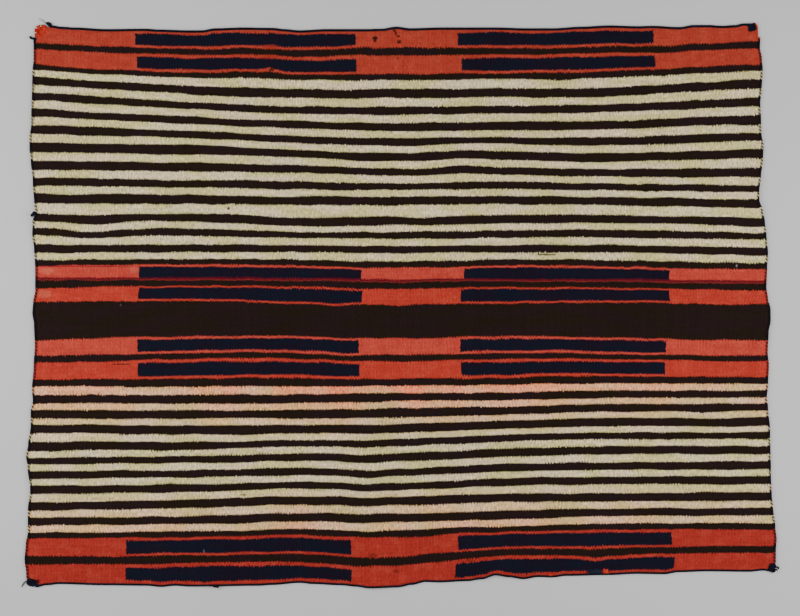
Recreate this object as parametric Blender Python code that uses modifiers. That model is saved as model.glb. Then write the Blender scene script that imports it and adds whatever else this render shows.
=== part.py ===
"""A banded wool wearable blanket, lying flat with its face up.

Frame: origin on the resting surface under the middle of the blanket, +X along its long side
to the right, +Y towards its top end, +Z up out of its face. Metres.
The cloth is one weft-faced sheet. A twined indigo cord binds each of its four edges, and the
cords' ends are knotted at the corners.
"""

import math

import bmesh
import bpy
import numpy as np
from mathutils import Matrix, Vector

MM = 0.001

# Driving dimensions
WIDTH = 1.795  # between the cords' outer sides, left to right, before the edges' waver
HEIGHT = 1.356  # between the cords' outer sides, top to bottom, before the edges' waver
CLOTH_THICK = 0.0022
CORD_DIAMETER = 0.0055
CORD_END_DIAMETER = 0.0022  # a loose end of one ply
GAP = 0.0003  # between a knot and what it lies on
EDGE_GAP = 0.0004  # between the cloth's edge and its cord, a little more because the edge tilts
INSET = CORD_DIAMETER + EDGE_GAP  # from a cord's outer side to the cloth's edge
COLUMNS = 46  # evenly spaced columns of the cloth's grid, between the corners' lines
ROWS = 34
CORNER_STATIONS = (0.0, 0.4, 0.75)  # shares of the corner's radius where the grid has a line
GRID_CORNER = 0.020  # how far in from each edge the corner's lines reach
REST_CUT = 0.0005  # a ripple lower than this lies flat

# How far each edge lies outside (+) or inside (-) the plain rectangle, in mm, by where it is
TOP_EDGE = (  # across, out
    (-896, 10), (-872, 10), (-850, 6), (-829, 3), (-795, 1), (-716, -3), (-620, -2), (-587, -4),
    (-514, -6), (-481, -6), (-447, -1), (-378, 1), (-306, 0), (-275, -3), (-240, -6), (-173, -3),
    (-70, -3), (-35, -2), (0, 3), (34, -1), (110, 1), (249, 1), (318, -1), (389, -1), (458, 3),
    (527, 6), (597, 4), (631, 5), (700, 2), (735, 7), (769, 7), (805, 5), (839, 7), (858, 11),
    (896, 10),
)
BOTTOM_EDGE = (  # across, out
    (-896, 12), (-875, 10), (-852, 5), (-818, 2), (-707, 5), (-608, 6), (-574, 9), (-541, 6),
    (-508, 8), (-441, 7), (-341, 6), (-307, 4), (-241, -1), (-207, 2), (-140, 5), (-106, 8),
    (-73, 12), (-6, 10), (27, 4), (60, -3), (94, -2), (161, -5), (195, -10), (229, -20),
    (263, -15), (296, -10), (330, -15), (364, -14), (398, -18), (499, -20), (567, -23),
    (634, -22), (668, -27), (736, -29), (838, -28), (872, -31), (896, -27),
)
LEFT_EDGE = (  # up, out
    (684, -1), (640, -2), (589, -2), (562, 1), (431, 4), (405, 8), (378, 8), (352, 5), (299, 0),
    (246, -4), (226, -7), (200, 0), (167, 1), (141, -3), (88, -6), (36, -6), (9, -1), (-17, 1),
    (-43, -3), (-96, -5), (-148, -2), (-201, 2), (-227, 0), (-254, 5), (-287, 5), (-333, 11),
    (-360, 16), (-386, 12), (-439, 6), (-492, 12), (-545, 12), (-571, 17), (-609, 20),
    (-640, 16), (-680, 14),
)
RIGHT_EDGE = (  # up, out
    (684, -22), (645, -19), (618, -20), (590, -15), (564, -13), (510, -16), (483, -19),
    (430, -17), (403, -16), (376, -11), (348, -12), (295, -18), (267, -22), (241, -22),
    (214, -13), (187, -8), (160, -4), (106, 0), (79, -2), (25, -4), (-2, 0), (-29, 6), (-56, 6),
    (-83, 1), (-137, -1), (-164, 2), (-218, 0), (-245, -3), (-272, 0), (-326, 5), (-434, 7),
    (-488, 9), (-515, 12), (-569, 18), (-596, 21), (-622, 19), (-650, 19), (-680, 12),
)

# Corner radii of the cloth in mm, by the side it is on: -1 is left or bottom, +1 right or top
CORNER_RADII = {(-1, 1): 13, (1, 1): 13, (-1, -1): 9, (1, -1): 9}

# Where the cloth doesn't lie quite flat, in mm: the middle, the half lengths, the turn in
# degrees and how high it lifts
RIPPLES = (  # across, up, long, wide, turn, lift
    (-306, 584, 120, 52, 5, 5.0),
    (-600, 470, 260, 46, -3, 3.0),
    (90, 600, 240, 50, 2, 3.6),
    (610, 560, 210, 55, -4, 4.2),
    (236, -640, 48, 110, 0, 6.0),
    (-62, -640, 60, 100, 6, 5.0),
    (-455, -650, 55, 80, -5, 4.0),
    (560, -600, 190, 48, 3, 3.2),
    (-870, 226, 70, 60, 0, 4.0),
    (-850, -395, 90, 62, 8, 5.0),
    (860, 265, 90, 66, -6, 4.6),
    (850, -60, 100, 56, 4, 3.6),
    (-300, 120, 330, 44, 3, 2.6),
    (330, -180, 360, 46, -2, 2.8),
    (120, 330, 300, 44, -3, 2.6),
    (-420, -330, 280, 46, 2, 2.8),
    (700, -380, 150, 50, -5, 3.2),
    (-640, 40, 150, 48, 4, 2.6),
)

# Where each cord starts and stops along its edge, in mm
TOP_CORD_SPAN = (-851.0, 848.0)
BOTTOM_CORD_SPAN = (-883.0, 896.5)
LEFT_CORD_SPAN = (644.0, -665.5)
RIGHT_CORD_SPAN = (652.0, -626.5)
LEFT_CORD_STUB = (  # the left cord's top end sticks out of the edge, in mm: across, up
    (-904.5, 656.0), (-900.5, 652.2), (-895.5, 650.0),
)

# Knots, in mm: each lobe's middle, size and turn in degrees, and the height of its middle
KNOT_LOBES = {  # across, up, long, wide, tall, turn, middle
    "knot_top_left": (
        (-856.2, 685.6, 11, 9.6, 8, -20, 3.6), (-861.0, 688.2, 8, 6, 5.6, 35, 2.6),
    ),
    "knot_top_right": (
        (854.6, 681.4, 13, 13, 9, 20, 5.0), (861.4, 676.0, 12, 15, 10, -15, 5.4),
        (855.4, 673.6, 12, 11, 8, 40, 4.6), (861.6, 684.4, 9, 9, 7, 10, 4.4),
    ),
    "knot_bottom_left": (
        (-904.0, -677.4, 14, 20, 10, 12, 5.2), (-893.6, -679.0, 12, 17, 9, -10, 4.8),
        (-887.5, -674.6, 10, 9, 6, 30, 4.0),
    ),
    "knot_bottom_right": (
        (907.4, -636.4, 17, 15, 10, 20, 5.4), (908.8, -645.6, 13, 13, 9, -20, 5.0),
        (902.2, -643.6, 9, 12, 7, 5, 4.4),
    ),
    "knot_left_edge": ((-891.4, 224.6, 12, 10, 7, 25, 7.4), (-896.4, 219.8, 9, 9, 6, -10, 7.2)),
    "knot_bottom_edge": ((-451.0, -683.0, 12, 8, 6, 12, 7.0), (-445.5, -684.6, 8, 6.5, 5, 0, 6.8)),
}
KNOT_SEATS = {  # what each knot's level underside lies on
    "knot_top_left": "floor",
    "knot_top_right": "cloth",
    "knot_bottom_left": "cloth",
    "knot_bottom_right": "cloth",
    "knot_left_edge": "cord",
    "knot_bottom_edge": "cord",
}
SEAT_HEIGHTS = {"floor": 0.0, "cloth": CLOTH_THICK + GAP, "cord": CORD_DIAMETER + GAP}
KNOT_ENDS = {  # loose ends, in mm: across, up, height
    "knot_bottom_left": (
        ((-903.0, -675.0, 6.0), (-911.5, -671.8, 6.4), (-916.0, -674.5, 4.4), (-920.5, -680.0, 2.4),
         (-924.0, -687.0, 1.2)),
    ),
    "knot_bottom_right": (
        ((908.0, -637.0, 6.0), (916.0, -635.0, 6.6), (920.8, -636.6, 5.0), (924.0, -640.4, 3.4)),
        ((908.0, -641.5, 6.0), (916.0, -643.2, 6.0), (920.5, -646.6, 3.6)),
    ),
}
KNOT_REACH = 0.008  # how far around a knot's middle the cloth under it is felt for
CORD_ROUNDNESS = 1  # bevel resolution that gives a cord six sides
SPHERE_SEGMENTS = 12
SPHERE_RINGS = 8
CUTTER_SPAN = 0.100  # length and width of the block that trims a knot's underside
CUTTER_DROP = 0.030  # how deep below its top face that block reaches


def edge_curve(table):
    """The waver of one edge as a smooth function of the place along it, both in metres.

    Between two rows it eases from one value to the next with the cubic 3u^2 - 2u^3.
    """
    rows = sorted(table)
    places = np.array([row[0] for row in rows]) * MM
    values = np.array([row[1] for row in rows]) * MM

    def waver(place):
        place = np.clip(place, places[0], places[-1])
        before = np.clip(np.searchsorted(places, place) - 1, 0, len(places) - 2)
        u = (place - places[before]) / (places[before + 1] - places[before])
        eased = u * u * (3.0 - 2.0 * u)
        return values[before] + (values[before + 1] - values[before]) * eased

    return waver


TOP_WAVER, BOTTOM_WAVER = edge_curve(TOP_EDGE), edge_curve(BOTTOM_EDGE)
LEFT_WAVER, RIGHT_WAVER = edge_curve(LEFT_EDGE), edge_curve(RIGHT_EDGE)


def lift_at(x, y):
    """Height of the cloth's underside: the sum of the ripples, flat where that is under the cut."""
    total = np.zeros_like(np.asarray(x, dtype=float))
    for across, up, half_long, half_wide, turn, height in RIPPLES:
        along_way = math.radians(turn)
        dx, dy = x - across * MM, y - up * MM
        along = (dx * math.cos(along_way) + dy * math.sin(along_way)) / (half_long * MM)
        over = (dy * math.cos(along_way) - dx * math.sin(along_way)) / (half_wide * MM)
        total = total + height * MM * np.exp(-along * along - over * over)
    return np.maximum(total - REST_CUT, 0.0)


def rounded_corner(x, y, half_x, half_y):
    """The corner's square bent to a quarter disc: u sqrt(1 - w^2 / 2), w sqrt(1 - u^2 / 2)."""
    for (side_x, side_y), radius_mm in CORNER_RADII.items():
        radius = radius_mm * MM
        u = (side_x * x - (half_x - radius)) / radius
        w = (side_y * y - (half_y - radius)) / radius
        inside = (u > 0) & (w > 0)
        u, w = np.clip(u, 0, 1), np.clip(w, 0, 1)
        bent_u = u * np.sqrt(1 - w * w / 2)
        bent_w = w * np.sqrt(1 - u * u / 2)
        x = np.where(inside, side_x * (half_x - radius + radius * bent_u), x)
        y = np.where(inside, side_y * (half_y - radius + radius * bent_w), y)
    return x, y


def cloth_place(x, y):
    """A point of the plain rectangle, moved as its edges waver and lifted with the ripples."""
    half_x, half_y = WIDTH / 2 - INSET, HEIGHT / 2 - INSET
    x, y = rounded_corner(x, y, half_x, half_y)
    to_right, to_top = (x / half_x + 1) / 2, (y / half_y + 1) / 2
    moved_x = x + to_right * RIGHT_WAVER(y) - (1 - to_right) * LEFT_WAVER(y)
    moved_y = y + to_top * TOP_WAVER(x) - (1 - to_top) * BOTTOM_WAVER(x)
    return moved_x, moved_y, lift_at(moved_x, moved_y)


def stations(half_size, count):
    """Grid lines from edge to edge: even ones, with closer ones at the corners."""
    corner = np.array(CORNER_STATIONS) * GRID_CORNER
    even = np.linspace(-half_size + GRID_CORNER, half_size - GRID_CORNER, count)
    return np.concatenate([-half_size + corner, even, half_size - corner[::-1]])


COLUMN_PLACES = stations(WIDTH / 2 - INSET, COLUMNS)
ROW_PLACES = stations(HEIGHT / 2 - INSET, ROWS)


def collection(name):
    made = bpy.data.collections.new(name)
    bpy.context.scene.collection.children.link(made)
    return made


def material(name, colour, roughness):
    made = bpy.data.materials.new(name)
    made.use_nodes = True
    shader = made.node_tree.nodes["Principled BSDF"]
    shader.inputs["Base Color"].default_value = (*colour, 1.0)
    shader.inputs["Roughness"].default_value = roughness
    shader.inputs["Metallic"].default_value = 0.0
    return made


def add_object(name, mesh, group, look=None):
    made = bpy.data.objects.new(name, mesh)
    group.objects.link(made)
    if look is not None:
        mesh.materials.append(look)
    return made


def woven_cloth(group, look):
    """One sheet: a grid moved onto the cloth's underside, thickened upwards."""
    grid = bmesh.new()
    columns, rows = len(COLUMN_PLACES), len(ROW_PLACES)
    bmesh.ops.create_grid(grid, x_segments=columns - 1, y_segments=rows - 1, size=0.5)
    for vertex in grid.verts:
        column = round((vertex.co.x + 0.5) * (columns - 1))
        row = round((vertex.co.y + 0.5) * (rows - 1))
        vertex.co = Vector([float(c) for c in cloth_place(COLUMN_PLACES[column], ROW_PLACES[row])])
    mesh = bpy.data.meshes.new("woven_cloth")
    grid.to_mesh(mesh)
    grid.free()
    cloth = add_object("woven_cloth", mesh, group, look)
    thicken = cloth.modifiers.new("thickness", "SOLIDIFY")
    thicken.thickness = CLOTH_THICK
    thicken.offset = 1.0
    mesh.shade_smooth()
    return cloth


def edge_line(side):
    """The cloth's edge as points from left to right, or from top to bottom."""
    if side in ("top", "bottom"):
        x = COLUMN_PLACES
        y = np.full(len(x), ROW_PLACES[-1] if side == "top" else ROW_PLACES[0])
    else:
        y = ROW_PLACES[::-1]
        x = np.full(len(y), COLUMN_PLACES[0] if side == "left" else COLUMN_PLACES[-1])
    return np.stack(cloth_place(x, y), axis=1)


def beside(line, distance):
    """A line moved sideways on the level, mitred, to its left for a distance above zero."""
    level = line[:, :2]
    steps = np.diff(level, axis=0)
    ways = steps / np.linalg.norm(steps, axis=1)[:, None]
    before = np.vstack([ways[:1], ways])
    after = np.vstack([ways, ways[-1:]])
    mean = before + after
    mean /= np.linalg.norm(mean, axis=1)[:, None]
    mitre = distance / np.sum(mean * after, axis=1)
    moved = line.copy()
    moved[:, 0] -= mean[:, 1] * mitre
    moved[:, 1] += mean[:, 0] * mitre
    return moved


def stretch(line, axis, span):
    """The part of a line between two places on an axis, with a point at each of them."""
    start, stop = span[0] * MM, span[1] * MM
    order = 1 if stop > start else -1
    coordinate = line[:, axis] * order
    kept = line[(coordinate > start * order) & (coordinate < stop * order)]
    ends = [
        [float(np.interp(place * order, coordinate, line[:, k])) for k in range(3)]
        for place in (start, stop)
    ]
    return np.vstack([ends[0], kept, ends[1]])


def tube(name, points, diameter, roundness, group):
    curve = bpy.data.curves.new(name, "CURVE")
    curve.dimensions = "3D"
    curve.bevel_depth = diameter / 2
    curve.bevel_resolution = roundness
    curve.use_fill_caps = True
    spline = curve.splines.new("POLY")
    spline.points.add(len(points) - 1)
    for spot, place in zip(spline.points, points):
        spot.co = (*[float(c) for c in place], 1.0)
    made = bpy.data.objects.new(name, curve)
    group.objects.link(made)
    return made


def edge_cord(name, side, span, outwards, group, look, stub=()):
    """A cord lying along one edge, clear of the cloth by the gap, with an end that sticks out."""
    radius = CORD_DIAMETER / 2
    line = beside(edge_line(side), outwards * (radius + EDGE_GAP))
    line = stretch(line, 0 if side in ("top", "bottom") else 1, span)
    line[:, 2] += radius
    ahead = [[across * MM, up * MM, radius] for across, up in stub]
    points = np.vstack([ahead, line]) if ahead else line
    cord = tube(name, points, CORD_DIAMETER, CORD_ROUNDNESS, group)
    cord.data.materials.append(look)
    return cord


def meshed(curve_object, group):
    """The curve as a closed mesh, with its caps joined on."""
    graph = bpy.context.evaluated_depsgraph_get()
    mesh = bpy.data.meshes.new_from_object(curve_object.evaluated_get(graph))
    work = bmesh.new()
    work.from_mesh(mesh)
    bmesh.ops.remove_doubles(work, verts=work.verts, dist=0.00001)
    bmesh.ops.recalc_face_normals(work, faces=work.faces)
    work.to_mesh(mesh)
    work.free()
    name = curve_object.name
    bpy.data.objects.remove(curve_object)
    return add_object(name, mesh, group)


def helper(made):
    made.hide_render = True
    made.display_type = "WIRE"
    return made


def lobe(name, row, lift, group):
    """A flattened ball of wound cord, raised with the cloth under it."""
    across, up, long_mm, wide_mm, tall_mm, turn, middle = row
    ball = bmesh.new()
    bmesh.ops.create_uvsphere(ball, u_segments=SPHERE_SEGMENTS, v_segments=SPHERE_RINGS, radius=0.5)
    size = Matrix.Diagonal((long_mm * MM, wide_mm * MM, tall_mm * MM, 1.0))
    place = Matrix.Translation((across * MM, up * MM, middle * MM + lift))
    ball.transform(place @ Matrix.Rotation(math.radians(turn), 4, "Z") @ size)
    mesh = bpy.data.meshes.new(name)
    ball.to_mesh(mesh)
    ball.free()
    return add_object(name, mesh, group)


def box_below(name, height, middle, group):
    """A wide block whose top face is at a height, which trims a knot's underside level."""
    block = bmesh.new()
    bmesh.ops.create_cube(block, size=1.0)
    size = Matrix.Diagonal((CUTTER_SPAN, CUTTER_SPAN, CUTTER_DROP, 1.0))
    place = Matrix.Translation((middle[0], middle[1], height - CUTTER_DROP / 2))
    block.transform(place @ size)
    mesh = bpy.data.meshes.new(name)
    block.to_mesh(mesh)
    block.free()
    return add_object(name, mesh, group)


def boolean(target, cutter, operation):
    change = target.modifiers.new(cutter.name, "BOOLEAN")
    change.operation = operation
    change.object = cutter


def knot(name, group, helpers, look):
    """Lobes joined to one body, trimmed level underneath, with its loose ends joined on."""
    rows = KNOT_LOBES[name]
    middle = (rows[0][0] * MM, rows[0][1] * MM)
    around = np.array([-1.0, 0.0, 1.0]) * KNOT_REACH
    lift = float(np.max(lift_at(middle[0] + around[:, None], middle[1] + around[None, :])))
    body = lobe(name, rows[0], lift, group)
    body.data.materials.append(look)
    for number, row in enumerate(rows[1:], start=1):
        boolean(body, helper(lobe(f"{name}_lobe_{number}", row, lift, helpers)), "UNION")
    base = SEAT_HEIGHTS[KNOT_SEATS[name]] + lift
    boolean(body, helper(box_below(f"{name}_base", base, middle, helpers)), "DIFFERENCE")
    for number, points in enumerate(KNOT_ENDS.get(name, ())):
        line = np.array(points) * MM + np.array([0.0, 0.0, lift])
        loose = tube(f"{name}_end_{number}", line, CORD_END_DIAMETER, CORD_ROUNDNESS, helpers)
        boolean(body, helper(meshed(loose, helpers)), "UNION")
    body.data.shade_smooth()
    return body


def main():
    for old in list(bpy.data.objects):
        bpy.data.objects.remove(old)
    blanket = collection("wearable_blanket")
    helpers = collection("cutters")
    banded_wool = material("banded_wool", (0.33, 0.09, 0.05), 0.92)
    indigo_wool = material("indigo_wool", (0.012, 0.016, 0.04), 0.85)

    woven_cloth(blanket, banded_wool)
    edge_cord("end_cord_top", "top", TOP_CORD_SPAN, 1, blanket, indigo_wool)
    edge_cord("end_cord_bottom", "bottom", BOTTOM_CORD_SPAN, -1, blanket, indigo_wool)
    edge_cord(
        "side_cord_left", "left", LEFT_CORD_SPAN, -1, blanket, indigo_wool, LEFT_CORD_STUB
    )
    edge_cord("side_cord_right", "right", RIGHT_CORD_SPAN, 1, blanket, indigo_wool)
    for name in KNOT_LOBES:
        knot(name, blanket, helpers, indigo_wool)


main()
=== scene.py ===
# A handwoven banded wool blanket, laid out flat with its face up.
# The cloth is worked out on its loom: across it (u) and down its courses (v), both in metres.
import bpy
import numpy as np
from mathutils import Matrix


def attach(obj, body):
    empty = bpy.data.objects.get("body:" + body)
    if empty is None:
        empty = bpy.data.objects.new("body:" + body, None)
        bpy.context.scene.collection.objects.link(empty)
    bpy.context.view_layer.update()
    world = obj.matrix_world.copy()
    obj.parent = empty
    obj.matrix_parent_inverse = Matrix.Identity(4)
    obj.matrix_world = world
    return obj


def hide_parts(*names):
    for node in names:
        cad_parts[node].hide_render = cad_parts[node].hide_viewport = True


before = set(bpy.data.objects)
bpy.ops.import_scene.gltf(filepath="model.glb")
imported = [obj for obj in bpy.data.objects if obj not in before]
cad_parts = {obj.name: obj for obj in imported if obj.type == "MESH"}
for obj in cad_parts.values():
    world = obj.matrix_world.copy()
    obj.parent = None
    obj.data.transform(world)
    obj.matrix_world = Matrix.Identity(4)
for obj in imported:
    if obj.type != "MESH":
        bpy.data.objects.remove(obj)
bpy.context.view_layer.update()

mm = 0.001
rng = np.random.default_rng(7)

# The blanket's plain rectangle and how its edges stray from it, as in the part
blanket = {
    "width": 1.795,  # between the cords' outer sides
    "height": 1.356,
    "thick": 0.0022,
    "cord": 0.0055,
    "edgeGap": 0.0004,
    "restCut": 0.0005,  # a ripple lower than this lies flat
    "cornerRadii": {(-1, 1): 13, (1, 1): 13, (-1, -1): 9, (1, -1): 9},
    "topEdge": (  # across, out, in mm
        (-896, 10), (-872, 10), (-850, 6), (-829, 3), (-795, 1), (-716, -3), (-620, -2), (-587, -4),
        (-514, -6), (-481, -6), (-447, -1), (-378, 1), (-306, 0), (-275, -3), (-240, -6),
        (-173, -3), (-70, -3), (-35, -2), (0, 3), (34, -1), (110, 1), (249, 1), (318, -1),
        (389, -1), (458, 3),
        (527, 6), (597, 4), (631, 5), (700, 2), (735, 7), (769, 7), (805, 5), (839, 7), (858, 11),
        (896, 10),
    ),
    "bottomEdge": (  # across, out
        (-896, 12), (-875, 10), (-852, 5), (-818, 2), (-707, 5), (-608, 6), (-574, 9), (-541, 6),
        (-508, 8), (-441, 7), (-341, 6), (-307, 4), (-241, -1), (-207, 2), (-140, 5), (-106, 8),
        (-73, 12), (-6, 10), (27, 4), (60, -3), (94, -2), (161, -5), (195, -10), (229, -20),
        (263, -15), (296, -10), (330, -15), (364, -14), (398, -18), (499, -20), (567, -23),
        (634, -22), (668, -27), (736, -29), (838, -28), (872, -31), (896, -27),
    ),
    "leftEdge": (  # up, out
        (684, -1), (640, -2), (589, -2), (562, 1), (431, 4), (405, 8), (378, 8), (352, 5), (299, 0),
        (246, -4), (226, -7), (200, 0), (167, 1), (141, -3), (88, -6), (36, -6), (9, -1), (-17, 1),
        (-43, -3), (-96, -5), (-148, -2), (-201, 2), (-227, 0), (-254, 5), (-287, 5), (-333, 11),
        (-360, 16), (-386, 12), (-439, 6), (-492, 12), (-545, 12), (-571, 17), (-609, 20),
        (-640, 16), (-680, 14),
    ),
    "rightEdge": (  # up, out
        (684, -22), (645, -19), (618, -20), (590, -15), (564, -13), (510, -16), (483, -19),
        (430, -17), (403, -16), (376, -11), (348, -12), (295, -18), (267, -22), (241, -22),
        (214, -13), (187, -8), (160, -4), (106, 0), (79, -2), (25, -4), (-2, 0), (-29, 6), (-56, 6),
        (-83, 1), (-137, -1), (-164, 2), (-218, 0), (-245, -3), (-272, 0), (-326, 5), (-434, 7),
        (-488, 9), (-515, 12), (-569, 18), (-596, 21), (-622, 19), (-650, 19), (-680, 12),
    ),
    "ripples": (  # across, up, half long, half wide, turn in degrees, lift
        (-306, 584, 120, 52, 5, 5.0),
        (-600, 470, 260, 46, -3, 3.0),
        (90, 600, 240, 50, 2, 3.6),
        (610, 560, 210, 55, -4, 4.2),
        (236, -640, 48, 110, 0, 6.0),
        (-62, -640, 60, 100, 6, 5.0),
        (-455, -650, 55, 80, -5, 4.0),
        (560, -600, 190, 48, 3, 3.2),
        (-870, 226, 70, 60, 0, 4.0),
        (-850, -395, 90, 62, 8, 5.0),
        (860, 265, 90, 66, -6, 4.6),
        (850, -60, 100, 56, 4, 3.6),
        (-300, 120, 330, 44, 3, 2.6),
        (330, -180, 360, 46, -2, 2.8),
        (120, 330, 300, 44, -3, 2.6),
        (-420, -330, 280, 46, 2, 2.8),
        (700, -380, 150, 50, -5, 3.2),
        (-640, 40, 150, 48, 4, 2.6),
    ),
}

# The yarns: the colour that each shows, as sRGB hex, and the code of its kind, which the material
# reads back from the ramps' alpha. A red course with bars adds a barCode for its place in barEnds.
yarns = {
    "brown": ("#1D120D", 0.0),
    "middleBrown": ("#20150F", 0.0),
    "cream": ("#C6BB9B", 0.25),
    "red": ("#A8392A", 0.5),  # the top group
    "coral": ("#BA4034", 0.5), "coralDeep": ("#B33629", 0.5),  # the two middle groups
    "deepRed": ("#A22D25", 0.5),  # the bottom group
    "crimson": ("#5E0C1A", 0.75),
    "indigo": ("#0E0E1F", 1.0),
}
barCode = 0.02


def barGroup(guide, yarn, above, bars, below, row):
    # plain yarn, then the depth that a row of bars lies in, then plain yarn
    return (guide, yarn, above, ""), ("", yarn, bars, row), ("", yarn, below, "")


# The courses of colour from the top edge down
courses = {
    "topGroup": (  # guide, yarn, depth in mm, row of bars
        *barGroup("", "red", 8.9, 27.7, 8.4, "top1"),
        ("brown1", "brown", 13, ""),
        *barGroup("red2", "red", 10, 27.6, 7.9, "top2"),
        ("border1", "brown", 12.5, ""),
    ),
    "upperField": (  # cream, brown, from the top
        (22.5, 20), (21, 18), (21.5, 19), (19.5, 18), (20, 21), (21.5, 19.5), (21, 17),
        (18.5, 20), (27, 18), (17.5, 15.5), (20.5, 18.5), (18.4, 13.1),
    ),
    "middleGroup": (
        ("coral1", "coral", 7, ""), ("", "coral", 26, "middle1"),
        ("crimson", "crimson", 5.6, ""), ("", "coral", 1.0, ""), ("brown2", "brown", 13.5, ""),
        *barGroup("coral2", "coralDeep", 6, 27.5, 7, "middle2"),
        ("wideBrown", "middleBrown", 83, ""),
        *barGroup("coral3", "coral", 8, 25.2, 8.3, "middle3"),
        ("brown3", "brown", 12.5, ""),
        *barGroup("coral4", "coralDeep", 9, 28, 8.5, "middle4"),
        ("border2", "brown", 16, ""),
    ),
    "lowerField": (
        (20, 18.5), (17, 17.5), (17, 20), (19.5, 18), (16.5, 16.5), (19, 17.5), (19, 17.5),
        (21, 19), (18.5, 17), (20, 13),
    ),
    "bottomGroup": (
        *barGroup("deep1", "deepRed", 9, 29.5, 8, "bottom1"),
        ("brown4", "brown", 16, ""),
        *barGroup("deep2", "deepRed", 10.5, 28.4, 8.1, "bottom2"),
    ),
}

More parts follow.
